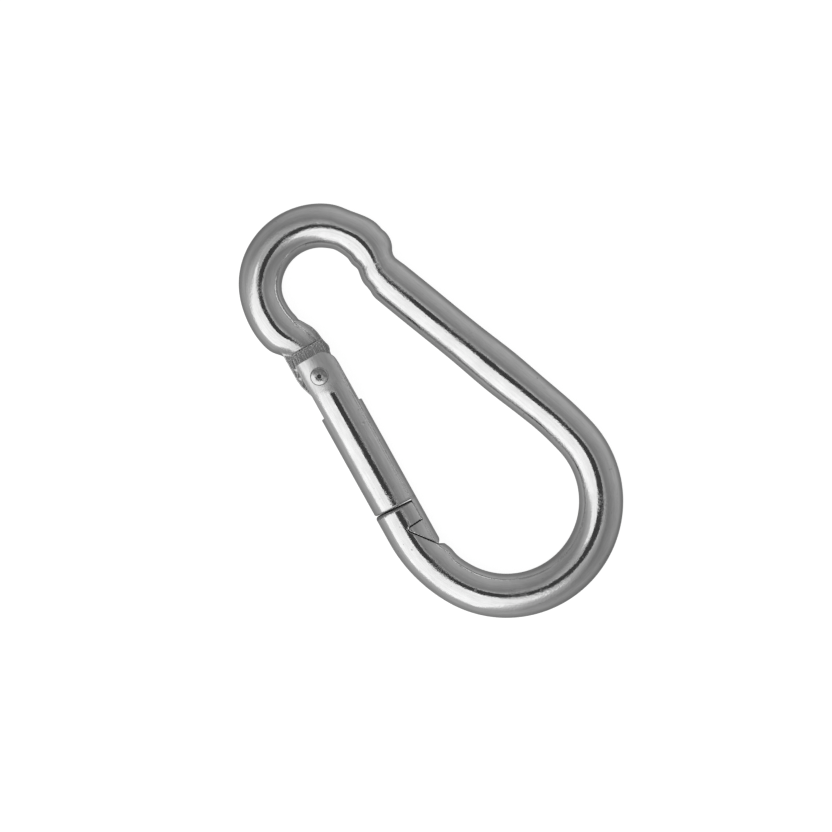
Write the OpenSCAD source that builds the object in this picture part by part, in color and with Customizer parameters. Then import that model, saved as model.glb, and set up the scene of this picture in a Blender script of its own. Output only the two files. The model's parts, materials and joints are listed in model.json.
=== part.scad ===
// Pear-shaped spring snap hook bent from round steel wire, with a sprung gate that opens inwards.
// The hook lies flat. Length runs along X, the solid spine is on the +Y side, the gate on the -Y side.
// All lengths are in millimetres.

/* [Ring] */
// Diameter of the round wire that the ring is bent from
wire_d = 11; // [10.5:0.1:11]
// Slope of the spine, and of the gate against it, to the hook's length
taper = 10.9; // [10:0.1:12]
// Bend radius of the large bow, to the wire's centre
bow_r = 23.5; // [23:0.1:24]
// How far round the large bow keeps that radius, in degrees
bow_turn = 162; // [158:1:166]
// Wider bend radius where the bow runs into the nose
nose_bend_r = 33.3; // [31:0.1:35]
// Bend radius of the small eye, to the wire's centre
eye_r = 15.1; // [14.7:0.1:15.4]
// Straight length of the spine
spine_l = 48.5; // [47:0.1:50]

/* [Gate] */
// Diameter of the round gate bar
gate_d = 11.4; // [11.2:0.1:11.6]
// Distance from the hinge to the end of the bow's bend, along the gate
gate_reach = 44.3; // [44:0.1:44.8]
// Offset of the hinge from the gate's axis, towards the outside
pivot_offset = 0.8; // [0.5:0.1:1]
// Offset of the gate's axis from the nose's axis, towards the inside
gate_shift = 0.35; // [0.1:0.05:0.4]
// Length of the ears past the hinge
ear_l = 5.3; // [5:0.1:5.6]
// Depth of the slot between the ears, past the hinge
slot_l = 9.8; // [9:0.1:11]
// Width of the slot between the ears
slot_w = 5.5; // [5.5:0.1:5.8]
// Angle at which the gate is fully open
open_angle = 32; // [26:1:34]

/* [Hinge] */
// Diameter of the rivet's shank
rivet_d = 3.8; // [3.4:0.1:4]
// Diameter of the rivet's heads
rivet_head_d = 4.5; // [4.4:0.1:4.8]
// Thickness of the flattened tongue on the ring's end
tongue_t = 5.3; // [5:0.1:5.3]
// Lever arm of the tongue's cam about the hinge
cam_throw = 1.2; // [0.8:0.1:1.4]
// Radius of the tongue's cam
cam_r = 7.2; // [7:0.1:7.4]

/* [Spring] */
// Bore in the gate that holds the plunger and the spring
bore_d = 5.2; // [5.1:0.05:5.3]
// Depth of the bore from the bottom of the slot
bore_l = 19; // [17:0.5:21]
// Outer diameter of the spring
spring_d = 4.9; // [4.6:0.1:4.9]
// Wire diameter of the spring
spring_wire = 0.8; // [0.6:0.05:0.9]
// Coils in the spring
spring_turns = 9; // [7:1:10]

/* [Hidden] */
$fn = 96;
fit = 0.05;
gap = 0.3;
big = 40;
over = 0.5;
wire_r = wire_d / 2;
hair = 0.02;
lap = 0.3;
gate_r = gate_d / 2;

// The ring is one run of bends and straights, from the hinge round the small eye, along the spine
// and round the bow to the nose. Each piece is [bend radius or length, turn in degrees, + to the left],
// and a turn of 0 is a straight.
tail_r = 11;
tail_turn = 29.3;
joggle_r = 11;
joggle_turn = 29.3;
eye_turn = 180 - 2 * taper + joggle_turn + tail_turn;
entry_r = 80;
entry_turn = 8.2;
nose_turn = 180 + 2 * taper - entry_turn - bow_turn;
nose_l = 7;
ring_start = [0, 0, 180 - taper];
ring_run = [[tail_r, tail_turn], [eye_r, -eye_turn], [joggle_r, joggle_turn], [spine_l, 0],
            [entry_r, -entry_turn], [bow_r, -bow_turn], [nose_bend_r, -nose_turn], [nose_l, 0]];
eye_i = 1;
bow_i = 5;
nose_bend_i = 6;
nose_i = 7;

// Centre of the bend that starts at pose p = [x, y, heading]
function bend_centre(p, seg) =
    let (side = sign(seg[1]))
    [p[0] - side * seg[0] * sin(p[2]), p[1] + side * seg[0] * cos(p[2])];

// Pose at the far end of one straight or bend
function advance(p, seg) =
    let (side = sign(seg[1]), c = bend_centre(p, seg), h = p[2] + seg[1])
    seg[1] == 0
        ? [p[0] + seg[0] * cos(h), p[1] + seg[0] * sin(h), h]
        : [c[0] + side * seg[0] * sin(h), c[1] - side * seg[0] * cos(h), h];

// Pose where piece number i of the ring starts
function ring_pose(i) = i == 0 ? ring_start : advance(ring_pose(i - 1), ring_run[i - 1]);

// The ring is centred on the origin in plan, and the gate bar's underside is at z = 0
bow_c = bend_centre(ring_pose(bow_i), ring_run[bow_i]);
nose_c = bend_centre(ring_pose(nose_bend_i), ring_run[nose_bend_i]);
eye_c = bend_centre(ring_pose(eye_i), ring_run[eye_i]);
mid_x = (bow_c[0] + bow_r + eye_c[0] - eye_r) / 2;
mid_y = (bow_c[1] + bow_r + nose_c[1] - nose_bend_r) / 2;
mid_z = gate_r;

// The gate has its own frame: u along its axis from the hinge to the nose, v towards the inside
nose_pose = ring_pose(nose_i);
gate_angle = -taper;
hinge_foot = [nose_pose[0] - gate_reach * cos(gate_angle) - gate_shift * sin(gate_angle),
              nose_pose[1] - gate_reach * sin(gate_angle) + gate_shift * cos(gate_angle)];

// Places along the gate, in its own frame
shoulder_u = -8.1;
gate_end_u = 37.2;
nose_head_u = 37.8;
hook_u = 43.2;
strip_v = 4.4;
tooth_low_v = -0.2;
tip_u = 50.5;
tip_v = 4.9;
ear_flat_z = 5.25;
ear_round_r = 4;
cam_lead = 90 + open_angle / 2;
cam_c = [cam_throw * cos(cam_lead), cam_throw * sin(cam_lead) - pivot_offset];
plunger_u = cam_c[0] + cam_r + 2 * fit;
plunger_head_l = 7;
plunger_stem_l = 4;
bore_end_u = slot_l + bore_l;

module in_place() {
    translate([-mid_x, -mid_y, mid_z]) children();
}

module in_gate_frame() {
    translate([hinge_foot[0], hinge_foot[1], 0]) rotate([0, 0, gate_angle]) children();
}

// One straight or bend of round wire; a bend's ends may run on a little way into its neighbours
module wire_piece(p, seg, r, run_on) {
    c = bend_centre(p, seg);
    lap_turn = run_on / seg[0] * 180 / PI;
    first = seg[1] > 0 ? p[2] - 90 : p[2] + 90 + seg[1];
    if (seg[1] == 0)
        translate([p[0], p[1], 0]) rotate([0, 0, p[2]]) rotate([0, 90, 0]) cylinder(r = r, h = seg[0]);
    else
        translate([c[0], c[1], 0]) rotate([0, 0, first - lap_turn])
            rotate_extrude(angle = abs(seg[1]) + 2 * lap_turn) translate([seg[0], 0]) circle(r = r);
}

// The whole ring. Every other piece is a hair thinner and laps into its neighbours, which joins them.
module wire_ring() {
    for (i = [0 : len(ring_run) - 1]) {
        thin = i % 2 == 0;
        wire_piece(ring_pose(i), ring_run[i], thin ? wire_r - hair : wire_r, thin ? lap : 0);
    }
}

// Outline of the flat tongue, with its cam end. It stands proud of the gate's ears on the outside.
module tongue_outline() {
    root_u = shoulder_u - 3;
    root_v = 3.2;
    proud_v = -6.2;
    outer_v = -5;
    inner_v = 4.4;
    hump = [-5.4, 4.8];
    intersection() {
        polygon([[root_u, proud_v], [-1.6, proud_v], [3.3, outer_v], [big, outer_v],
                 [big, inner_v], [-3.7, inner_v], hump, [root_u, root_v]]);
        union() {
            translate(cam_c) circle(r = cam_r);
            translate([-big, -big / 2]) square([big, big]);
        }
    }
}

// Space that the gate's hooked end needs in the ring's nose
module latch_clearance() {
    room = 0.9;
    linear_extrude(height = 2 * wire_d, center = true)
        polygon([[hook_u, tooth_low_v - 0.2], [hook_u + room, tooth_low_v - room],
                 [tip_u + room, tip_v - 0.1], [tip_u + room, wire_d], [0, wire_d],
                 [0, strip_v - gap], [hook_u, strip_v - gap]]);
}

module body() {
    color("silver") in_place() difference() {
        union() {
            difference() {
                wire_ring();
                in_gate_frame() translate([shoulder_u, -wire_d, -wire_d])
                    cube([nose_head_u - shoulder_u, 2 * wire_d, 2 * wire_d]);
                in_gate_frame() latch_clearance();
            }
            in_gate_frame() linear_extrude(height = tongue_t, center = true) tongue_outline();
        }
        in_gate_frame() translate([0, -pivot_offset, 0])
            cylinder(d = rivet_d + 2 * fit, h = wire_d, center = true);
    }
}

// Side view of the gate: square end, inner strip and hooked beak with its tooth
module gate_outline() {
    tip_round = 0.5;
    heel_u = hook_u + 0.45;
    tooth_back = [hook_u + 0.7, tooth_low_v + 0.8];
    tooth = [hook_u + 1.2, tooth_low_v];
    polygon([[-ear_l, -gate_d], [gate_end_u, -gate_d], [gate_end_u, strip_v], [heel_u, strip_v],
             tooth_back, tooth, [tip_u, tip_v], [tip_u - tip_round, gate_d], [-ear_l, gate_d]]);
}

// The ears' ends: square on the outside, rounded on the inside
module ear_outline() {
    ear_v = sqrt(gate_r * gate_r - slot_w * slot_w / 4);
    union() {
        translate([-ear_l, -gate_d]) square([big * 2, gate_d + ear_v - ear_round_r]);
        translate([-ear_l + ear_round_r, -gate_d]) square([big * 2, 2 * gate_d]);
        translate([-ear_l + ear_round_r, ear_v - ear_round_r]) circle(r = ear_round_r);
    }
}

// Thickness of the gate along its length: the ears are pressed flat round the rivet
module thickness_outline() {
    pressed_u = 4;
    round_u = 6;
    full_z = gate_r + over;
    polygon([[-big, -ear_flat_z], [pressed_u, -ear_flat_z], [round_u, -full_z], [2 * big, -full_z],
             [2 * big, full_z], [round_u, full_z], [pressed_u, ear_flat_z], [-big, ear_flat_z]]);
}

module gate() {
    color("gainsboro") in_place() in_gate_frame() difference() {
        intersection() {
            translate([-big / 4, 0, 0]) rotate([0, 90, 0]) cylinder(d = gate_d, h = 2 * big);
            linear_extrude(height = 2 * gate_d, center = true) intersection() {
                gate_outline();
                ear_outline();
            }
            rotate([90, 0, 0]) linear_extrude(height = 3 * gate_d, center = true) thickness_outline();
        }
        translate([-big / 4, -gate_d, -slot_w / 2]) cube([big / 4 + slot_l, 2 * gate_d, slot_w]);
        translate([slot_l - over, 0, 0]) rotate([0, 90, 0]) cylinder(d = bore_d, h = bore_l + over);
        translate([0, -pivot_offset, 0]) cylinder(d = rivet_d, h = 2 * gate_d, center = true);
    }
}

module pivot_rivet() {
    head_h = 0.4;
    rim_h = 0.15;
    dimple_r = 0.7;
    top_r = 1.4;
    color("lightgray") in_place() in_gate_frame() translate([0, -pivot_offset, 0]) rotate_extrude()
        polygon([[0, -ear_flat_z - head_h], [top_r, -ear_flat_z - head_h],
                 [rivet_head_d / 2, -ear_flat_z - rim_h], [rivet_head_d / 2, -ear_flat_z],
                 [rivet_d / 2, -ear_flat_z], [rivet_d / 2, ear_flat_z],
                 [rivet_head_d / 2, ear_flat_z], [rivet_head_d / 2, ear_flat_z + rim_h],
                 [top_r, ear_flat_z + head_h], [dimple_r, ear_flat_z + head_h],
                 [0, ear_flat_z + rim_h]]);
}

// Points of one cross-section of the spring's wire, at turn t of the coil
function coil_ring(t, pitch, sides) =
    let (r = (spring_d - spring_wire) / 2, a = 360 * t)
    [for (k = [0 : sides - 1]) let (b = 360 * k / sides, q = r + spring_wire / 2 * cos(b))
        [pitch * t + spring_wire / 2 * sin(b), q * cos(a), q * sin(a)]];

module gate_spring() {
    sides = 8;
    steps = 16 * spring_turns;
    start_u = plunger_u + plunger_head_l + spring_wire / 2 + fit;
    end_u = bore_end_u - spring_wire / 2 - fit;
    pitch = (end_u - start_u) / spring_turns;
    rings = [for (i = [0 : steps]) each coil_ring(i * spring_turns / steps, pitch, sides)];
    walls = [for (i = [0 : steps - 1], k = [0 : sides - 1])
        let (a = i * sides + k, b = i * sides + (k + 1) % sides) [a, b, b + sides, a + sides]];
    caps = [[for (k = [sides - 1 : -1 : 0]) k], [for (k = [0 : sides - 1]) steps * sides + k]];
    color("dimgray") in_place() in_gate_frame() translate([start_u, 0, 0])
        polyhedron(points = rings, faces = concat(walls, caps));
}

module spring_plunger() {
    stem_gap = 0.2;
    stem_d = spring_d - 2 * spring_wire - 2 * stem_gap;
    color("darkgray") in_place() in_gate_frame() translate([plunger_u, 0, 0]) rotate([0, 90, 0]) {
        cylinder(d = bore_d - 2 * fit, h = plunger_head_l);
        cylinder(d = stem_d, h = plunger_head_l + plunger_stem_l);
    }
}

body();
gate();
pivot_rivet();
gate_spring();
spring_plunger();
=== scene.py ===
import json
import math

import bpy
import numpy as np
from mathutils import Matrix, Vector


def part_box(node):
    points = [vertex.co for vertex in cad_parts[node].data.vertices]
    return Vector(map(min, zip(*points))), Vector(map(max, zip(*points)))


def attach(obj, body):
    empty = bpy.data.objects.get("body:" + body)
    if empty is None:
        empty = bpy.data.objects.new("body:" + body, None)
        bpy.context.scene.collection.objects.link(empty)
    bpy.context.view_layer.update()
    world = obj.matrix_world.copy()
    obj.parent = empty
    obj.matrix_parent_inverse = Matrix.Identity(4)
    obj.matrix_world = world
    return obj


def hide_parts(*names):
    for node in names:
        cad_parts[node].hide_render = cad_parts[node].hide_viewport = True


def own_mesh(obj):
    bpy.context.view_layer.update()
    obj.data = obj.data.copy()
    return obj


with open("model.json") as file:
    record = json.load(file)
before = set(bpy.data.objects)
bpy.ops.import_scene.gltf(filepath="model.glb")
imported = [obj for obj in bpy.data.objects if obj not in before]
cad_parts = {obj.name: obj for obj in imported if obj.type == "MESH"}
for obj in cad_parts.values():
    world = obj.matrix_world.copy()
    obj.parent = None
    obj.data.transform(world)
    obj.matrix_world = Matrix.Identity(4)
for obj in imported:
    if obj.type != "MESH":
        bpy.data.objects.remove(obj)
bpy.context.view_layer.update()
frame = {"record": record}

# Shapes are worked out in millimetres, in the row frame, and turned into metres when a mesh is made.
MM = 0.001

# ---------------------------------------------------------------- sizes, as in the CAD model

WIRE_R = 5.5
GATE_R = 5.7
TAPER = 10.9
BOW_R, BOW_TURN = 23.5, 162.0
ENTRY_R, ENTRY_TURN = 80.0, 8.2
NOSE_BEND_R = 33.3
EYE_R = 15.1
TAIL_R, TAIL_TURN = 11.0, 29.3
JOGGLE_R, JOGGLE_TURN = 11.0, 29.3
SPINE_L, NOSE_L = 48.5, 7.0
PIVOT_OFFSET = 0.8
RIVET_R = 1.9
TONGUE_HALF_T = 2.65
SLOT_HALF_W, SLOT_END = 2.75, 9.6
BORE_R, BORE_END = 2.6, 28.8
CAM_THROW, CAM_R = 1.2, 7.2
EAR_L = 5.3
MID_Z = GATE_R
SKIN = 0.025                            # the visual wire stays this far inside the CAD surface

# ---------------------------------------------------------------- places, from the frame

record = frame["record"]
joints = {j["name"]: j for j in record["behaviour"]["joints"]}
pivot = np.array(joints["gate_hinge"]["pos_m"]) / MM
along = np.array(joints["plunger_slide"]["axis"])[:2]
along = along / np.linalg.norm(along)
inward = np.array([-along[1], along[0]])
gate_origin = pivot[:2] + PIVOT_OFFSET * inward
open_angle = joints["gate_hinge"]["range_deg"][1]
body_lo, body_hi = (np.array(c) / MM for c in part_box("body"))


def to_gate(x, y):
    """Row frame to gate frame: u along the gate from the hinge, v towards the inside."""
    dx, dy = x - gate_origin[0], y - gate_origin[1]
    return dx * along[0] + dy * along[1], dx * inward[0] + dy * inward[1]


def from_gate(u, v):
    return gate_origin[0] + u * along[0] + v * inward[0], gate_origin[1] + u * along[1] + v * inward[1]


def advance(pose, size, turn):
    """The pose (x, y, heading) after a straight (turn 0) or a bend, and the bend's centre."""
    x, y, h = pose
    if turn == 0:
        a = math.radians(h)
        return (x + size * math.cos(a), y + size * math.sin(a), h), None
    side = math.copysign(1, turn)
    a = math.radians(h)
    cx, cy = x - side * size * math.sin(a), y + side * size * math.cos(a)
    b = math.radians(h + turn)
    return (cx + side * size * math.sin(b), cy - side * size * math.cos(b), h + turn), (cx, cy)


def ring_places():
    """Start pose and bend centre of each piece of the ring, moved to where the CAD body is."""
    eye_turn = 180 - 2 * TAPER + JOGGLE_TURN + TAIL_TURN
    nose_turn = 180 + 2 * TAPER - ENTRY_TURN - BOW_TURN
    run = [("tail", TAIL_R, TAIL_TURN), ("eye", EYE_R, -eye_turn), ("joggle", JOGGLE_R, JOGGLE_TURN),
           ("spine", SPINE_L, 0), ("entry", ENTRY_R, -ENTRY_TURN), ("bow", BOW_R, -BOW_TURN),
           ("nose_bend", NOSE_BEND_R, -nose_turn), ("nose", NOSE_L, 0)]
    pose, places = (0.0, 0.0, 180 - TAPER), {}
    for name, size, turn in run:
        after, centre = advance(pose, size, turn)
        places[name] = {"start": pose, "end": after, "centre": centre, "r": size, "turn": turn}
        pose = after
    bow = places["bow"]["centre"]
    shift = (body_hi[0] - BOW_R - WIRE_R - bow[0], body_hi[1] - BOW_R - WIRE_R - bow[1])
    for p in places.values():
        for key in ("start", "end"):
            p[key] = (p[key][0] + shift[0], p[key][1] + shift[1], p[key][2])
        if p["centre"]:
            p["centre"] = (p["centre"][0] + shift[0], p["centre"][1] + shift[1])
    return places


ring = ring_places()

# ---------------------------------------------------------------- distance functions


def line_distance(x, y, a, b):
    dx, dy = b[0] - a[0], b[1] - a[1]
    t = np.clip(((x - a[0]) * dx + (y - a[1]) * dy) / (dx * dx + dy * dy), 0, 1)
    return np.hypot(x - a[0] - t * dx, y - a[1] - t * dy)


def arc_distance(x, y, centre, r, first, sweep):
    """Distance in plan to an arc that starts at angle first and turns left by sweep, both in degrees."""
    px, py = x - centre[0], y - centre[1]
    turned = np.degrees(np.arctan2(py, px)) - first
    on = np.mod(turned, 360) <= sweep
    ends = [(r * math.cos(math.radians(a)), r * math.sin(math.radians(a))) for a in (first, first + sweep)]
    to_end = np.minimum(*[np.hypot(px - e[0], py - e[1]) for e in ends])
    return np.where(on, np.abs(np.hypot(px, py) - r), to_end)


def polygon_distance(u, v, points):
    """Signed distance to a closed outline, negative inside."""
    d = np.full(np.broadcast(u, v).shape, 1e9)
    inside = np.zeros(d.shape, bool)
    for (ax, ay), (bx, by) in zip(points, points[1:] + points[:1]):
        d = np.minimum(d, line_distance(u, v, (ax, ay), (bx, by)))
        if ay != by:
            crosses = (ay > v) != (by > v)
            inside ^= crosses & (u < (bx - ax) * (v - ay) / (by - ay) + ax)
    return np.where(inside, -d, d)


def smooth_min(a, b, k):
    h = np.maximum(k - np.abs(a - b), 0) / k
    return np.minimum(a, b) - h * h * k / 4


def smooth_max(a, b, k):
    return -smooth_min(-a, -b, k)


def round_max(a, b, r):
    """Where both are solid, with the edge between them rounded to radius r."""
    corner = np.hypot(np.maximum(a + r, 0), np.maximum(b + r, 0)) - r
    return np.where((a > -r) & (b > -r), corner, np.maximum(a, b))


def bell(x, middle, width):
    return np.exp(-((x - middle) / width) ** 2)


def bells(x, table):
    """Sum of bumps, each (middle, width, height)."""
    return sum(height * bell(x, middle, width) for middle, width, height in table)


def arc_points(centre, r, first, last, steps):
    return [(centre[0] + r * math.cos(math.radians(a)), centre[1] + r * math.sin(math.radians(a)))
            for a in np.linspace(first, last, steps)]


# ---------------------------------------------------------------- the ring


def swept_arc(name):
    """An arc of the ring as (centre, radius, first angle, sweep), turning left."""
    p = ring[name]
    cx, cy = p["centre"]
    key = "start" if p["turn"] > 0 else "end"
    x, y = p[key][:2]
    return (cx, cy), p["r"], math.degrees(math.atan2(y - cy, x - cx)), abs(p["turn"])


SHOULDER_U = -8.1
HEAD_V = 4.19                           # top of the nose's head, and the gap to the beak above it
NOSE_V = to_gate(*ring["nose"]["start"][:2])[1]
HOOK_R = 43.1                           # the nose's wall, about the hinge
KINK = (-32.8, 12.9)                    # where the spine's end is pinched against the eye's bend
BALL = (-38.95, 14.5, 5.74)             # forged shoulder where the eye's bend stops short of the spine
BALL_HALF_H = 5.36
TAIL_R_WIRE, TAIL_HALF_H = 5.15, 5.42   # the wire is a little flatter in plan at the hinge
FAR = 99.0                              # a distance that never wins

# Where the wire is thinner, wider or off its ideal line, in plan: along the spine in mm, and round the eye
# in degrees, as (middle, width, change)
SPINE_WIDER = [(8, 12, 0.09), (35, 8.5, 0.32)]
EYE_THINNER = [(119, 9, -0.27), (99, 8, 0.15), (243, 24, -0.2), (291.5, 6.5, -0.78)]
EYE_OFF_LINE = [(99, 8, 0.15), (118, 10, -0.15), (257, 20, -0.25)]


def wire_distance(x, y, z, u, v):
    """The bent wire: round along its centreline, with the small irregularities of a bent and forged bar."""
    def tube(plan, r, half_h=WIRE_R):
        return np.hypot(plan, z * (r / half_h)) - r + SKIN

    def arc(name, shift=0.0, r=WIRE_R, half_h=WIRE_R):
        centre, size, first, sweep = swept_arc(name)
        return tube(arc_distance(x, y, centre, size + shift, first, sweep), r, half_h)

    # front half: bow and nose, with metal pushed up past the notch
    front = np.minimum(arc("bow"), arc("nose_bend"))
    front = np.minimum(front, tube(line_distance(x, y, ring["nose"]["start"], ring["nose"]["end"]), WIRE_R))
    front = front - 0.4 * bell(u, 52.8, 1.9) * np.clip((v - 0.5) / 5.5, 0, 1) ** 2 * (v < 12)
    # the nose's head rises to the level of the gate's strip beside it, and its front face is rounded off
    part = np.clip(v / 4, 0, 1)
    rise = part * part * (3 - 2 * part)
    head = np.hypot(v - NOSE_V * (1 - rise), z) - WIRE_R - (GATE_R - WIRE_R) * rise + SKIN
    front = np.minimum(front, np.where((u > 30) & (u < 43.3) & (v > 0) & (v < 6), head, FAR))
    face = np.where(v < 15, 37.5 + 0.055 * v - u, -FAR)
    front = round_max(front, face, 0.9)
    # spine, a little wider in plan towards the bow, and pinched at its other end
    a, b = ring["spine"]["start"], ring["spine"]["end"]
    slope = math.radians(TAPER)
    s = (x - a[0]) * math.cos(slope) + (y - a[1]) * math.sin(slope)
    d = np.minimum(front, tube(line_distance(x, y, a, b), WIRE_R + bells(s, SPINE_WIDER)))
    d = np.minimum(d, arc("entry"))
    d = np.minimum(d, tube(line_distance(x, y, KINK, a), WIRE_R - 0.5 * np.clip(-s / 3.8, 0, 1)))
    # eye, drawn thinner in places and necked where it meets the spine, and the ball beside that neck
    centre = ring["eye"]["centre"]
    t = np.degrees(np.arctan2(y - centre[1], x - centre[0])) % 360
    dip = np.clip((87 - t) / 13, 0, 1)
    r = WIRE_R + bells(t, EYE_THINNER) - 0.72 * dip
    shift = bells(t, EYE_OFF_LINE) - 0.27 * dip
    d = smooth_min(d, arc("eye", shift, r), 0.45)
    d = np.minimum(d, arc("joggle", 0, WIRE_R - 0.9))
    ball = np.sqrt((x - BALL[0]) ** 2 + (y - BALL[1]) ** 2 + (z * BALL[2] / BALL_HALF_H) ** 2) - BALL[2]
    d = smooth_min(d, ball, 0.12)
    # the tail narrows on its outer side towards the hinge
    narrow = 0.75 * np.clip((u + 11.5) / 3.4, 0, 1)
    neck = np.minimum(d, arc("tail", narrow, TAIL_R_WIRE - narrow, TAIL_HALF_H))
    # the square shoulder the gate's ears turn past
    near_hinge = np.maximum(np.abs(v) - 9, u - 30)
    return smooth_max(neck, -np.maximum(SHOULDER_U - u, near_hinge), 0.22)


def notch_outline():
    """The cut in the nose that the gate's beak closes into."""
    wall = [(math.sqrt(HOOK_R ** 2 - (v + PIVOT_OFFSET) ** 2), v) for v in (HEAD_V, 3.1, 2.0, 0.9, 0.3)]
    tooth = [(43.5, -0.1), (44.05, -0.2), (50.53, 4.77), (51.2, 6.3), (51.5, 9), (30, 9)]
    return [(30, HEAD_V)] + wall + tooth


def tongue_outline():
    """The flattened tongue between the gate's ears, with the cam that pushes the pin."""
    lead = math.radians(90 + open_angle / 2)
    cam = (CAM_THROW * math.cos(lead), CAM_THROW * math.sin(lead) - PIVOT_OFFSET)
    low = -math.degrees(math.asin((4.9 + cam[1]) / CAM_R))
    high = math.degrees(math.asin((4.3 - cam[1]) / CAM_R))
    return ([(-14.6, -3.0), (-11.4, -5.4), (-9.4, -6.2), (-1.8, -6.2), (0.2, -5.95), (2.0, -5.4), (3.3, -4.9)]
            + arc_points(cam, CAM_R, low, high, 14)
            + [(-3.6, 4.28), (-4.4, 4.36), (-5.2, 4.72), (-6.0, 4.8), (-7.0, 4.5), (-8.0, 4.25), (-10, 4.0),
               (-11, 3.75), (-12, 3.35), (-13, 2.65), (-14.6, 1.4)])


def ring_distance(x, y, z):
    u, v = to_gate(x, y)
    wire = wire_distance(x, y, z, u, v)
    notch = polygon_distance(u, v, notch_outline())
    wire = smooth_max(wire, -notch, 0.1)
    tongue = polygon_distance(u, v, tongue_outline())
    dents = bell(np.hypot(u + 4.1, v + 5.45), 0, 0.4) + bell(np.hypot(u + 1.7, v + 5.6), 0, 0.35)
    tongue = smooth_max(tongue, np.abs(z) - TONGUE_HALF_T + 0.18 * dents, 0.25)
    d = smooth_min(wire, tongue, 0.2 + 0.7 * np.clip((-8.3 - u) / 1.5, 0, 1))
    return smooth_max(d, RIVET_R + 0.05 - np.hypot(u, v + PIVOT_OFFSET), 0.1)


# ---------------------------------------------------------------- the gate, in its own frame


STRIP_V, TIP_U = 4.21, 50.4             # underside of the beak's strip, and its tip
END_U = 37.2                            # the bar's square end, before the beak
EAR_ROUND_R = 4.0


def beak_outline():
    """The thin strip that reaches over the nose's head, and the tooth at its end."""
    face_r = HOOK_R + 0.3
    face = [(math.sqrt(face_r ** 2 - (v + PIVOT_OFFSET) ** 2), v) for v in (STRIP_V, 3.1, 2.0, 0.8)]
    tooth = [(43.55, 0.12), (43.85, 0.04), (50.25, 4.95), (49.85, 5.3), (49.1, 5.7), (48, 9), (30, 9)]
    return [(30, STRIP_V)] + face + tooth


def ear_distance(u, v):
    """The ears' ends: square on the outside, one large round corner on the inside."""
    ear_v = math.sqrt(GATE_R ** 2 - SLOT_HALF_W ** 2)
    cu, cv = -EAR_L + EAR_ROUND_R, ear_v - EAR_ROUND_R
    corner = np.hypot(np.minimum(u - cu, 0), np.maximum(v - cv, 0)) - EAR_ROUND_R
    return np.where((u < cu) & (v > cv), corner, -EAR_L - u)


def gate_distance(u, v, w):
    """The gate bar, with its slotted ears, bore, square end and beak."""
    bar = smooth_max(np.hypot(v, w) - GATE_R, v - 5.63, 0.3)
    # pressed a little flatter round the rivet, on both faces
    pressed = 5.4 + 0.9 * np.logaddexp(0, (u - 3.6) / 0.8)
    bar = smooth_max(bar, np.abs(w) - pressed, 1.6)
    # a faint forging line along the inside, and one pit
    step = 0.05 * bell(v, 4.15, 0.12) * np.clip((u - 3) / 2, 0, 1)
    pit = 0.22 * bell(np.hypot(u - 15.3, v - 3.0), 0, 0.28)
    bar = bar + step + pit
    main = round_max(bar, u - (END_U + 0.03 * v), 0.5)
    d = np.minimum(main, smooth_max(bar, polygon_distance(u, v, beak_outline()), 0.1))
    d = smooth_max(d, ear_distance(u, v), 0.3)
    d = smooth_max(d, -smooth_max(np.abs(w) - SLOT_HALF_W, u - SLOT_END, 0.3), 0.25)
    bore = np.maximum(np.hypot(v, w) - BORE_R, np.maximum(SLOT_END - 1 - u, u - BORE_END))
    d = np.maximum(d, -bore)
    return smooth_max(d, RIVET_R - np.hypot(u, v + PIVOT_OFFSET), 0.1)


# ---------------------------------------------------------------- meshes from distance functions


def surface(distance, lo, hi, step):
    """A closed quad mesh where distance is zero: one point per crossed cell, moved onto the surface.
    Returns the points, the quads and the outward normals."""
    axes = [np.arange(a - 2 * step, b + 3 * step, step) for a, b in zip(lo, hi)]
    gx, gy, gz = np.meshgrid(*axes, indexing="ij", sparse=True)
    field = np.broadcast_to(distance(gx, gy, gz), [len(a) for a in axes]).astype(np.float32)
    inside = field < 0
    cells = [n - 1 for n in field.shape]
    total = np.zeros(cells + [3], np.float32)
    count = np.zeros(cells, np.uint8)
    quads = []
    index = -np.ones(cells, np.int64)
    edges = []
    for axis in range(3):
        a = np.moveaxis(inside, axis, 0)
        cross = np.moveaxis(a[:-1] != a[1:], 0, axis)
        where = np.argwhere(cross)
        near = where.copy()
        near[:, axis] += 1
        f0 = field[tuple(where.T)]
        f1 = field[tuple(near.T)]
        at = where.astype(np.float32)
        at[:, axis] += f0 / (f0 - f1)
        others = [k for k in range(3) if k != axis]
        around = []
        for da, db in ((0, 0), (1, 0), (1, 1), (0, 1)):
            cell = where.copy()
            cell[:, others[0]] -= da
            cell[:, others[1]] -= db
            np.add.at(total, tuple(cell.T), at)
            np.add.at(count, tuple(cell.T), 1)
            around.append(cell)
        edges.append((axis, around, inside[tuple(where.T)]))
    used = np.argwhere(count > 0)
    index[tuple(used.T)] = np.arange(len(used))
    for axis, around, from_inside in edges:
        q = np.stack([index[tuple(c.T)] for c in around], 1)
        flip = from_inside if axis == 1 else ~from_inside
        quads.append(np.where(flip[:, None], q[:, ::-1], q))
    quads = np.concatenate(quads)
    points = total[tuple(used.T)] / count[tuple(used.T)][:, None]
    points = points.astype(float) * step + np.array([a[0] for a in axes])
    for _ in range(4):
        f, g = slope_of(distance, points)
        move = -(f / np.maximum((g * g).sum(1), 1e-6))[:, None] * g
        size = np.linalg.norm(move, axis=1, keepdims=True)
        points += move * np.minimum(1, 0.4 * step / np.maximum(size, 1e-9))
    _, g = slope_of(distance, points)
    return points, quads, g / np.maximum(np.linalg.norm(g, axis=1, keepdims=True), 1e-9)


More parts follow.
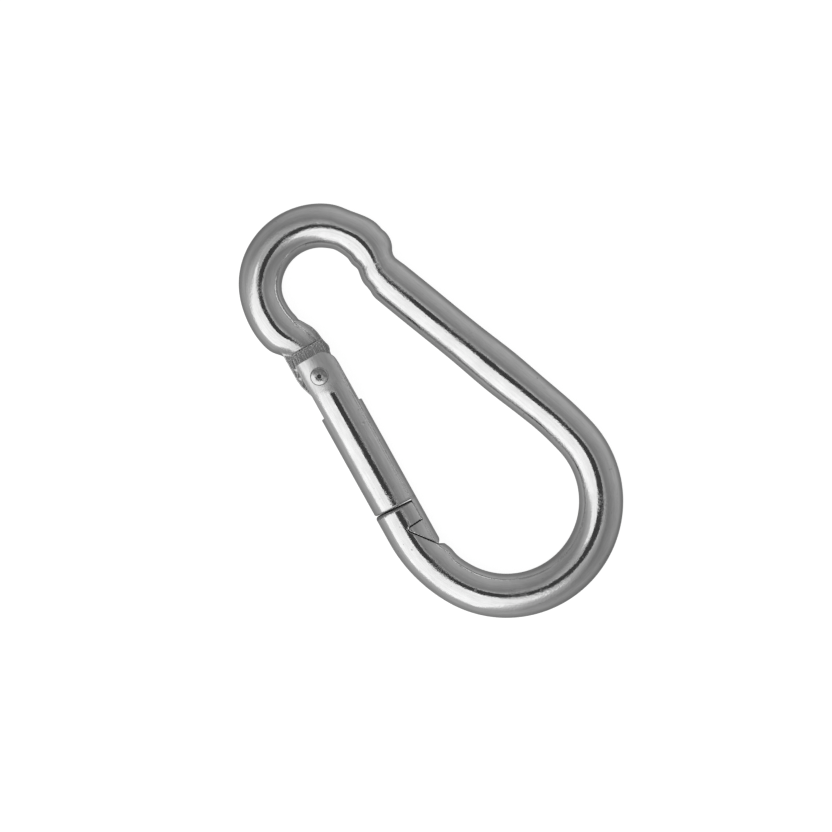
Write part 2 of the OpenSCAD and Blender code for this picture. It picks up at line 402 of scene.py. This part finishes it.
def slope_of(distance, points, e=0.02):
    """The distance at each point and its gradient, by differences of 2e."""
    x, y, z = points.T
    gx = distance(x + e, y, z) - distance(x - e, y, z)
    gy = distance(x, y + e, z) - distance(x, y - e, z)
    gz = distance(x, y, z + e) - distance(x, y, z - e)
    return distance(x, y, z), np.stack([gx, gy, gz], 1) / (2 * e)


def make_piece(name, points, faces, normals, grain, wear_and_shade, satin, body, nodes, material):
    """A mesh object in metres. grain is each point's place along, across and through the metal, in mm.
    The value after grain darkens the colour as painted shade in gaps, recesses and on shaded sides, and
    roughens forged and cut faces; satin only roughens; both are 0 on smooth plating."""
    mesh = bpy.data.meshes.new(name)
    mesh.from_pydata((np.asarray(points) * MM).tolist(), [], [list(map(int, f)) for f in faces])
    mesh.update()
    mesh.shade_smooth()
    if normals is not None:
        mesh.normals_split_custom_set_from_vertices(np.asarray(normals).tolist())
    layer = mesh.attributes.new("grain", "FLOAT_VECTOR", "POINT")
    layer.data.foreach_set("vector", np.asarray(grain, np.float32).ravel())
    shade_and_finish = np.zeros((len(mesh.vertices), 3), np.float32)
    shade_and_finish[:, 0] = wear_and_shade
    shade_and_finish[:, 1] = satin
    layer = mesh.attributes.new("shade_and_finish", "FLOAT_VECTOR", "POINT")
    layer.data.foreach_set("vector", shade_and_finish.ravel())
    mesh.materials.append(material)
    piece = bpy.data.objects.new(name, mesh)
    bpy.context.scene.collection.objects.link(piece)
    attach(piece, body)
    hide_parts(*nodes)
    return piece


def gate_to_row(points, normals):
    x, y = from_gate(points[:, 0], points[:, 1])
    placed = np.stack([x, y, points[:, 2] + MID_Z], 1)
    if normals is None:
        return placed, None
    turned = normals[:, :1] * np.append(along, 0) + normals[:, 1:2] * np.append(inward, 0)
    turned[:, 2] = normals[:, 2]
    return placed, turned


def ring_grain(points):
    """Place along the centreline, signed distance across it in plan, and height."""
    x, y = points[:, 0], points[:, 1]
    best = np.full(len(x), 1e9)
    s = np.zeros(len(x))
    across = np.zeros(len(x))
    start = 0.0
    for p in ring.values():
        if p["centre"]:
            cx, cy = p["centre"]
            length = abs(math.radians(p["turn"])) * p["r"]
            first = math.atan2(p["start"][1] - cy, p["start"][0] - cx)
            side = math.copysign(1, p["turn"])
            a = np.mod((np.arctan2(y - cy, x - cx) - first) * side, 2 * math.pi)
            a = np.where(a > math.pi + length / p["r"] / 2, a - 2 * math.pi, a)
            here = np.clip(a * p["r"], 0, length)
            off = (p["r"] - np.hypot(x - cx, y - cy)) * side
            beyond = np.abs(a * p["r"] - here)
        else:
            h = math.radians(p["start"][2])
            dx, dy = x - p["start"][0], y - p["start"][1]
            a = dx * math.cos(h) + dy * math.sin(h)
            length = p["r"]
            here = np.clip(a, 0, length)
            off = dy * math.cos(h) - dx * math.sin(h)
            beyond = np.abs(a - here)
        d = np.hypot(off, beyond)
        take = d < best
        best = np.where(take, d, best)
        s = np.where(take, start + here, s)
        across = np.where(take, off, across)
        start += length
    return np.stack([s, across, points[:, 2] - MID_Z], 1)


# ---------------------------------------------------------------- lathe and coil


def lathe(profile, sides):
    """Points and faces of a turned piece. profile is (radius, place along the axis), from one end to the
    other, and both ends are single points on the axis."""
    points = [(0.0, 0.0, profile[0][1])]
    for r, h in profile[1:-1]:
        for k in range(sides):
            a = 2 * math.pi * k / sides
            points.append((r * math.cos(a), r * math.sin(a), h))
    points.append((0.0, 0.0, profile[-1][1]))
    last = len(points) - 1
    faces = []
    for k in range(sides):
        n = (k + 1) % sides
        faces.append((0, 1 + n, 1 + k))
        for i in range(1, last - sides, sides):
            faces.append((i + k, i + n, i + sides + n, i + sides + k))
        faces.append((last - sides + k, last - sides + n, last))
    return np.array(points), faces


def smooth_profile(points, rounds=3):
    """Rounds a profile's corners by cutting them, and keeps its two ends."""
    for _ in range(rounds):
        cut = [points[0]]
        for a, b in zip(points, points[1:]):
            cut.append((0.75 * a[0] + 0.25 * b[0], 0.75 * a[1] + 0.25 * b[1]))
            cut.append((0.25 * a[0] + 0.75 * b[0], 0.25 * a[1] + 0.75 * b[1]))
        cut.append(points[-1])
        points = cut
    return points


def coil(start_u, end_u, radius, wire_r, turns, closed_turns=1.0, sides=12, per_turn=40):
    """A compression spring with closed, ground ends, along the gate's axis."""
    steps = int(turns * per_turn)
    t = np.linspace(0, turns, steps + 1)
    rise = np.interp(t, [0, closed_turns, turns - closed_turns, turns], [0.0, 0.12, 0.88, 1.0])
    u = start_u + wire_r + (end_u - start_u - 2 * wire_r) * rise
    a = 2 * np.pi * t
    points = []
    for k in range(sides):
        b = 2 * math.pi * k / sides
        q = radius + wire_r * math.cos(b)
        points.append(np.stack([u + wire_r * math.sin(b), q * np.cos(a), q * np.sin(a)], 1))
    points = np.stack(points, 1).reshape(-1, 3)
    points[:, 0] = np.clip(points[:, 0], start_u + 0.15 * wire_r, end_u - 0.15 * wire_r)
    faces = []
    for i in range(steps):
        for k in range(sides):
            n = (k + 1) % sides
            faces.append((i * sides + k, i * sides + n, (i + 1) * sides + n, (i + 1) * sides + k))
    faces.append(tuple(range(sides - 1, -1, -1)))
    faces.append(tuple(steps * sides + k for k in range(sides)))
    grain = np.repeat(np.stack([a * radius, 0 * a, 0 * a], 1), sides, 0)
    return points, faces, grain


# ---------------------------------------------------------------- materials


class Nodes:
    """Short helpers for one material's or world's node tree."""

    def __init__(self, owner):
        owner.use_nodes = True
        self.tree = owner.node_tree
        self.tree.nodes.clear()

    def add(self, kind, **settings):
        node = self.tree.nodes.new(kind)
        for key, value in settings.items():
            setattr(node, key, value)
        return node

    def link(self, a, b):
        self.tree.links.new(a, b)

    def maths(self, operation, a, b=None, clamp=False):
        node = self.add("ShaderNodeMath", operation=operation, use_clamp=clamp)
        for socket, value in zip(node.inputs, (a, b)):
            if value is None:
                continue
            if isinstance(value, (int, float)):
                socket.default_value = value
            else:
                self.link(value, socket)
        return node.outputs[0]

    def noise(self, vector, scale, stretch=(1, 1, 1), detail=2.0, roughness=0.5, offset=(0, 0, 0)):
        place = self.add("ShaderNodeMapping")
        place.inputs["Scale"].default_value = stretch
        place.inputs["Location"].default_value = offset
        self.link(vector, place.inputs["Vector"])
        node = self.add("ShaderNodeTexNoise", noise_dimensions="3D")
        node.inputs["Scale"].default_value = scale
        node.inputs["Detail"].default_value = detail
        node.inputs["Roughness"].default_value = roughness
        self.link(place.outputs[0], node.inputs["Vector"])
        return node.outputs[0]

    def remap(self, value, low, high, to_low, to_high):
        node = self.add("ShaderNodeMapRange", clamp=True)
        self.link(value, node.inputs["Value"])
        for socket, number in zip(("From Min", "From Max", "To Min", "To Max"), (low, high, to_low, to_high)):
            node.inputs[socket].default_value = number
        return node.outputs[0]


def plated_steel(name, colour=0.78, rough=0.07, drawn=1.0, mottle=1.0, pits=1.0):
    """Bright zinc over drawn wire: fine lines along the metal, soft mottling, small pits, and darker, duller
    faces where the mesh's per-point attribute says so; the darkening there is painted shade, the dullness is
    rougher metal."""
    material = bpy.data.materials.new(name)
    n = Nodes(material)
    grain = n.add("ShaderNodeAttribute", attribute_name="grain").outputs["Vector"]
    shade_and_finish = n.add("ShaderNodeSeparateXYZ")
    n.link(n.add("ShaderNodeAttribute", attribute_name="shade_and_finish").outputs["Vector"], shade_and_finish.inputs[0])
    wear_and_shade, satin = shade_and_finish.outputs["X"], shade_and_finish.outputs["Y"]
    lines = n.noise(grain, 1.0, stretch=(0.05, 2.2, 2.2), detail=3.0, roughness=0.6)
    scuffs = n.noise(grain, 1.0, stretch=(0.3, 1.3, 1.3), detail=4.0, roughness=0.65, offset=(7, 3, 1))
    speckle = n.noise(grain, 2.3, detail=2.5, roughness=0.65)
    clouds = n.noise(grain, 0.16, detail=3.0, offset=(3, 8, 2))
    wave = n.noise(grain, 0.17, stretch=(0.7, 1, 1), detail=1.5, offset=(1, 5, 9))
    patches = n.remap(n.noise(grain, 0.09, detail=2.0, offset=(5, 1, 7)), 0.45, 0.62, 0.25, 1.0)
    pit = n.remap(n.noise(grain, 1.0, detail=1.5, offset=(11, 2, 4)), 0.73, 0.80, 0.0, 1.0)

    shade = n.remap(clouds, 0.35, 0.7, colour * 0.96, colour * 1.04)
    shade = n.maths("MULTIPLY", shade, n.remap(scuffs, 0.35, 0.7, 1.04, 0.93))
    shade = n.maths("MULTIPLY", shade, n.remap(lines, 0.35, 0.65, 1.03, 0.96))
    shade = n.maths("MULTIPLY", shade, n.maths("SUBTRACT", 1.0, n.maths("MULTIPLY", pit, 0.4 * pits)))
    # painted shade: the attribute's first channel darkens the base colour in gaps, recesses and on shaded
    # sides
    shade = n.maths("MULTIPLY", shade, n.remap(n.maths("MULTIPLY", wear_and_shade, speckle), 0.0, 0.9, 1.0, 0.4))
    tint = n.add("ShaderNodeCombineColor")
    for channel in ("Red", "Green", "Blue"):
        n.link(shade, tint.inputs[channel])

    roughness = n.remap(scuffs, 0.35, 0.7, rough * 0.8, rough * 1.7)
    roughness = n.maths("ADD", roughness, n.maths("MULTIPLY", pit, 0.25 * pits))
    roughness = n.maths("ADD", roughness, n.maths("MULTIPLY", wear_and_shade, 0.20))
    roughness = n.maths("ADD", roughness, n.maths("MULTIPLY", satin, 0.26))

    height = n.maths("MULTIPLY", wave, 70.0)
    height = n.maths("ADD", height, n.maths("MULTIPLY", scuffs, 6.0 * mottle))
    height = n.maths("ADD", height, n.maths("MULTIPLY", lines, 9.0 * drawn))
    height = n.maths("ADD", height, n.maths("MULTIPLY", n.maths("MULTIPLY", speckle, patches), 42.0 * mottle))
    dull = n.maths("ADD", wear_and_shade, n.maths("MULTIPLY", satin, 0.4))
    height = n.maths("ADD", height, n.maths("MULTIPLY", n.maths("MULTIPLY", speckle, dull), 60.0))
    height = n.maths("SUBTRACT", height, n.maths("MULTIPLY", pit, 12.0 * pits))
    bump = n.add("ShaderNodeBump")
    bump.inputs["Strength"].default_value = 1.0
    bump.inputs["Distance"].default_value = 0.001 * MM      # heights above are in thousandths of a millimetre
    n.link(height, bump.inputs["Height"])

    shader = n.add("ShaderNodeBsdfPrincipled")
    shader.inputs["Metallic"].default_value = 1.0
    n.link(tint.outputs[0], shader.inputs["Base Color"])
    n.link(roughness, shader.inputs["Roughness"])
    n.link(bump.outputs[0], shader.inputs["Normal"])
    n.link(shader.outputs[0], n.add("ShaderNodeOutputMaterial").inputs["Surface"])
    return material


zinc = plated_steel("zinc_plate")
gate_zinc = plated_steel("zinc_plate_gate", drawn=1.3)
rivet_zinc = plated_steel("zinc_plate_rivet", drawn=0.3, mottle=1.4)
spring_steel = plated_steel("spring_steel", colour=0.42, rough=0.24, drawn=0.6)

# ---------------------------------------------------------------- pieces

RING_STEP = 0.28
GATE_STEP = 0.18


def latch_painted_shade(u, v, normals, outline):
    """Painted shade on the latch's cut faces in the gap between tooth and notch, and at the sharp inner end
    of the tooth's cut.
    """
    cut = (np.abs(polygon_distance(u, v, outline)) < 0.12) & (np.abs(normals[:, 2]) < 0.4) & (u > 42.4)
    apex = (np.hypot(u - 43.75, v - 0.15) < 0.4) & (v > -0.1)
    return 1.6 * cut + 1.4 * apex


def ring_piece():
    """The bent wire, rougher round the hinge and on the nose's face, with painted shade on the tongue between
    the gate's ears, on the nose's face in the gap to the gate, and on the latch's cut faces.
    """
    middle = np.array([0, 0, MID_Z])
    points, quads, normals = surface(ring_distance, body_lo - middle, body_hi - middle, RING_STEP)
    u, v = to_gate(points[:, 0], points[:, 1])
    points[:, 2] += MID_Z
    # painted shade with real roughness: the tongue between the ears and the nose's face in the gap to the
    # gate are made darker as well as rougher
    hinge = (u > -20) & (u < 20) & (np.abs(v) < 8)
    nose_face = (u > 36.5) & (u < 38.15) & (np.abs(v) < 8)
    wear_and_shade = 0.85 * hinge * np.clip((u + 11.5) / 3.5, 0, 1) + 1.5 * nose_face
    wear_and_shade = wear_and_shade + latch_painted_shade(u, v, normals, notch_outline())
    make_piece("wire_ring", points, quads, normals, ring_grain(points), wear_and_shade, 0.0,
               "ring", ["body"], zinc)


def gate_piece():
    """The gate bar, satin round the rivet, with painted shade on its square end in the gap to the nose and on
    the beak's cut faces.
    """
    lo, hi = (-EAR_L, -GATE_R, -GATE_R), (TIP_U, GATE_R + 0.2, GATE_R)
    points, quads, normals = surface(gate_distance, lo, hi, GATE_STEP)
    u, v, _ = points.T
    placed, turned = gate_to_row(points, normals)
    satin = np.clip((5.6 - u) / 3, 0, 1)
    # painted shade with real roughness: the cut end face in the gap to the nose is made darker as well as
    # rougher
    end_face = (u > 36.6) & (u < 37.5)
    wear_and_shade = 0.5 * end_face + latch_painted_shade(u, v, normals, beak_outline())
    make_piece("sprung_gate", placed, quads, turned, points, wear_and_shade, satin,
               "gate_arm", ["gate"], gate_zinc)


def rivet_piece():
    """Shank with a punched dome on each end, with painted shade on one side of the head, in the dimple and
    round its rim.
    """
    dome = [(0.0, 4.85), (0.3, 4.87), (0.42, 5.0), (0.5, 5.56), (0.66, 5.68), (1.2, 5.64), (1.75, 5.54),
            (2.1, 5.42), (2.28, 5.2), (2.28, 4.9), (RIVET_R, 4.5)]
    half = smooth_profile(dome)
    profile = [(r, -h) for r, h in half] + [(r, h) for r, h in reversed(half)]
    points, faces = lathe(profile, 72)
    du, dv = points[:, 0], points[:, 1].copy()
    r = np.hypot(du, dv)
    # painted shade: one side of the head, the dimple in its centre and the gap round its rim are darkened
    painted_shade_side = np.clip(0.45 + (dv - du) / 1.6, 0, 1) * (r < 2)
    wear_and_shade = 1.7 * painted_shade_side + 2.2 * (r < 0.5) + 1.6 * (r > 2.08)
    points[:, 1] -= PIVOT_OFFSET
    placed, _ = gate_to_row(points, None)
    grain = np.stack([0 * points[:, 0], points[:, 0], points[:, 1]], 1)
    make_piece("hinge_rivet", placed, faces, None, grain, wear_and_shade, 0.3,
               "gate_arm", ["pivot_rivet"], rivet_zinc)


def along_gate(points):
    """Turns a piece made round the Z axis so that its axis lies along the gate."""
    return np.stack([points[:, 2], points[:, 0], points[:, 1]], 1)


def inner_pieces():
    """The push pin against the tongue's cam, and the spring behind it."""
    lead = math.radians(90 + open_angle / 2)
    face = CAM_THROW * math.cos(lead) + CAM_R + 0.1
    head_end = face + 7.0
    r, edge, stem = BORE_R - 0.05, 0.35, 1.45
    profile = [(0.0, face), (r - edge, face), (r, face + edge), (r, head_end - edge), (r - edge, head_end),
               (stem, head_end), (stem, head_end + 3.6), (stem - edge, head_end + 4.0), (0.0, head_end + 4.0)]
    points, faces = lathe(profile, 48)
    placed, _ = gate_to_row(along_gate(points), None)
    make_piece("push_pin", placed, faces, None, along_gate(points), 0.0, 0.3,
               "plunger", ["spring_plunger"], spring_steel)
    points, faces, grain = coil(head_end + 0.05, BORE_END - 0.05, 2.05, 0.4, 9.0)
    placed, _ = gate_to_row(points, None)
    spring = make_piece("gate_coil", placed, faces, None, grain, 0.0, 0.3,
                        "gate_arm", ["gate_spring"], spring_steel)
    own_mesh(spring)


ring_piece()
gate_piece()
rivet_piece()
inner_pieces()

# ---------------------------------------------------------------- stage

PICTURE_TURN = 50.0                      # the picture's right, measured from +X towards +Y
VIEW_W = 0.2065                          # width of the view at the hook's mid-height
LENS = 110.0
SENSOR = 36.0
view_centre = Vector((0.0004, -0.0033, MID_Z * MM))


def picture_direction(azimuth, polar):
    """Unit vector towards a place given as in the picture: azimuth from its right towards its top, polar
    angle from straight up."""
    a = math.radians(azimuth + PICTURE_TURN)
    p = math.radians(polar)
    return Vector((math.cos(a) * math.sin(p), math.sin(a) * math.sin(p), math.cos(p)))


def add_camera():
    data = bpy.data.cameras.new("camera")
    data.sensor_width = SENSOR
    data.lens = LENS
    data.clip_start, data.clip_end = 0.01, 20
    camera = bpy.data.objects.new("camera", data)
    camera.location = view_centre + Vector((0, 0, VIEW_W * LENS / SENSOR))
    camera.rotation_euler = (0, 0, math.radians(PICTURE_TURN))
    bpy.context.scene.collection.objects.link(camera)
    bpy.context.scene.camera = camera


def add_softbox(name, azimuth, polar, distance, width, height, watts):
    data = bpy.data.lights.new(name, "AREA")
    data.shape = "RECTANGLE"
    data.size, data.size_y = width, height
    data.energy = watts
    lamp = bpy.data.objects.new(name, data)
    towards = picture_direction(azimuth, polar)
    lamp.location = towards * distance
    lamp.rotation_mode = "QUATERNION"
    lamp.rotation_quaternion = towards.to_track_quat("Z", "Y")
    bpy.context.scene.collection.objects.link(lamp)


def add_world():
    """A plain studio: grey overhead, lighter near the horizon, darker from below, and soft light spilling
    round the softbox and under it."""
    world = bpy.data.worlds.new("studio")
    bpy.context.scene.world = world
    n = Nodes(world)
    way = n.add("ShaderNodeTexCoord").outputs["Generated"]
    parts = n.add("ShaderNodeSeparateXYZ")
    n.link(way, parts.inputs[0])
    up = parts.outputs["Z"]

    def towards(azimuth, polar, low, high, gain):
        dot = n.add("ShaderNodeVectorMath", operation="DOT_PRODUCT")
        n.link(way, dot.inputs[0])
        dot.inputs[1].default_value = picture_direction(azimuth, polar)
        return n.remap(dot.outputs["Value"], low, high, 0.0, gain)

    level = n.remap(up, 0.0, 0.9, 0.38, 0.25)
    level = n.maths("ADD", level, towards(50, 90, 0.2, 1.0, 0.19))
    level = n.maths("MULTIPLY", level, n.remap(up, -0.2, -0.65, 1.0, 0.62))
    level = n.maths("ADD", level, towards(-135, 36, 0.50, 0.76, 0.35))
    level = n.maths("ADD", level, towards(-132, 100, 0.2, 1.0, 0.15))
    background = n.add("ShaderNodeBackground")
    n.link(level, background.inputs["Strength"])
    n.link(background.outputs[0], n.add("ShaderNodeOutputWorld").inputs["Surface"])


def glow_material(name, strength, see_through):
    material = bpy.data.materials.new(name)
    n = Nodes(material)
    glow = n.add("ShaderNodeEmission")
    glow.inputs["Strength"].default_value = strength
    shader = glow
    if see_through:
        shader = n.add("ShaderNodeAddShader")
        n.link(glow.outputs[0], shader.inputs[0])
        n.link(n.add("ShaderNodeBsdfTransparent").outputs[0], shader.inputs[1])
    n.link(shader.outputs[0], n.add("ShaderNodeOutputMaterial").inputs["Surface"])
    return material


def add_flag(half_w, half_h, rim):
    """A dark card behind the camera, wider than tall, with a faint bright rim. Only reflections see it."""
    steps = 96
    mesh = bpy.data.meshes.new("flag")
    points = []
    for grow in (0.0, rim):
        for k in range(steps):
            a = 2 * math.pi * k / steps
            points.append(((half_w + grow) * math.cos(a), (half_h + grow) * math.sin(a), 0))
    faces = [tuple(range(steps))]
    for k in range(steps):
        m = (k + 1) % steps
        faces.append((k, steps + k, steps + m, m))
    mesh.from_pydata(points, [], faces)
    mesh.materials.append(glow_material("flag_dark", 0.05, False))
    mesh.materials.append(glow_material("flag_rim", 0.30, True))
    for polygon in mesh.polygons[1:]:
        polygon.material_index = 1
    flag = bpy.data.objects.new("flag", mesh)
    camera = bpy.context.scene.camera
    flag.location = camera.location + Vector((0, 0, 0.01)) + 0.02 * picture_direction(-130, 90)
    flag.rotation_euler = camera.rotation_euler
    bpy.context.scene.collection.objects.link(flag)
    flag.visible_camera = False
    flag.visible_diffuse = False
    flag.visible_shadow = False


def add_floor():
    """A plain pale floor, left out of reflections so that the metal shows only the studio."""
    half = 3.0
    mesh = bpy.data.meshes.new("floor")
    corners = [(-half, -half, 0), (half, -half, 0), (half, half, 0), (-half, half, 0)]
    mesh.from_pydata(corners, [], [(0, 1, 2, 3)])
    floor = bpy.data.objects.new("floor", mesh)
    bpy.context.scene.collection.objects.link(floor)
    material = bpy.data.materials.new("floor_white")
    n = Nodes(material)
    shader = n.add("ShaderNodeBsdfPrincipled")
    shader.inputs["Base Color"].default_value = (0.35, 0.35, 0.35, 1)
    shader.inputs["Roughness"].default_value = 0.9
    shader.inputs["Specular IOR Level"].default_value = 0.1
    shader.inputs["Emission Color"].default_value = (1, 1, 1, 1)
    shader.inputs["Emission Strength"].default_value = 0.90
    n.link(shader.outputs[0], n.add("ShaderNodeOutputMaterial").inputs["Surface"])
    mesh.materials.append(material)
    floor.visible_glossy = False


add_camera()
add_world()
add_floor()
add_flag(0.185, 0.130, 0.022)
add_softbox("key_softbox", -132, 44, 0.6, 0.86, 0.86, 1.28)

bpy.context.scene.view_settings.view_transform = "Standard"
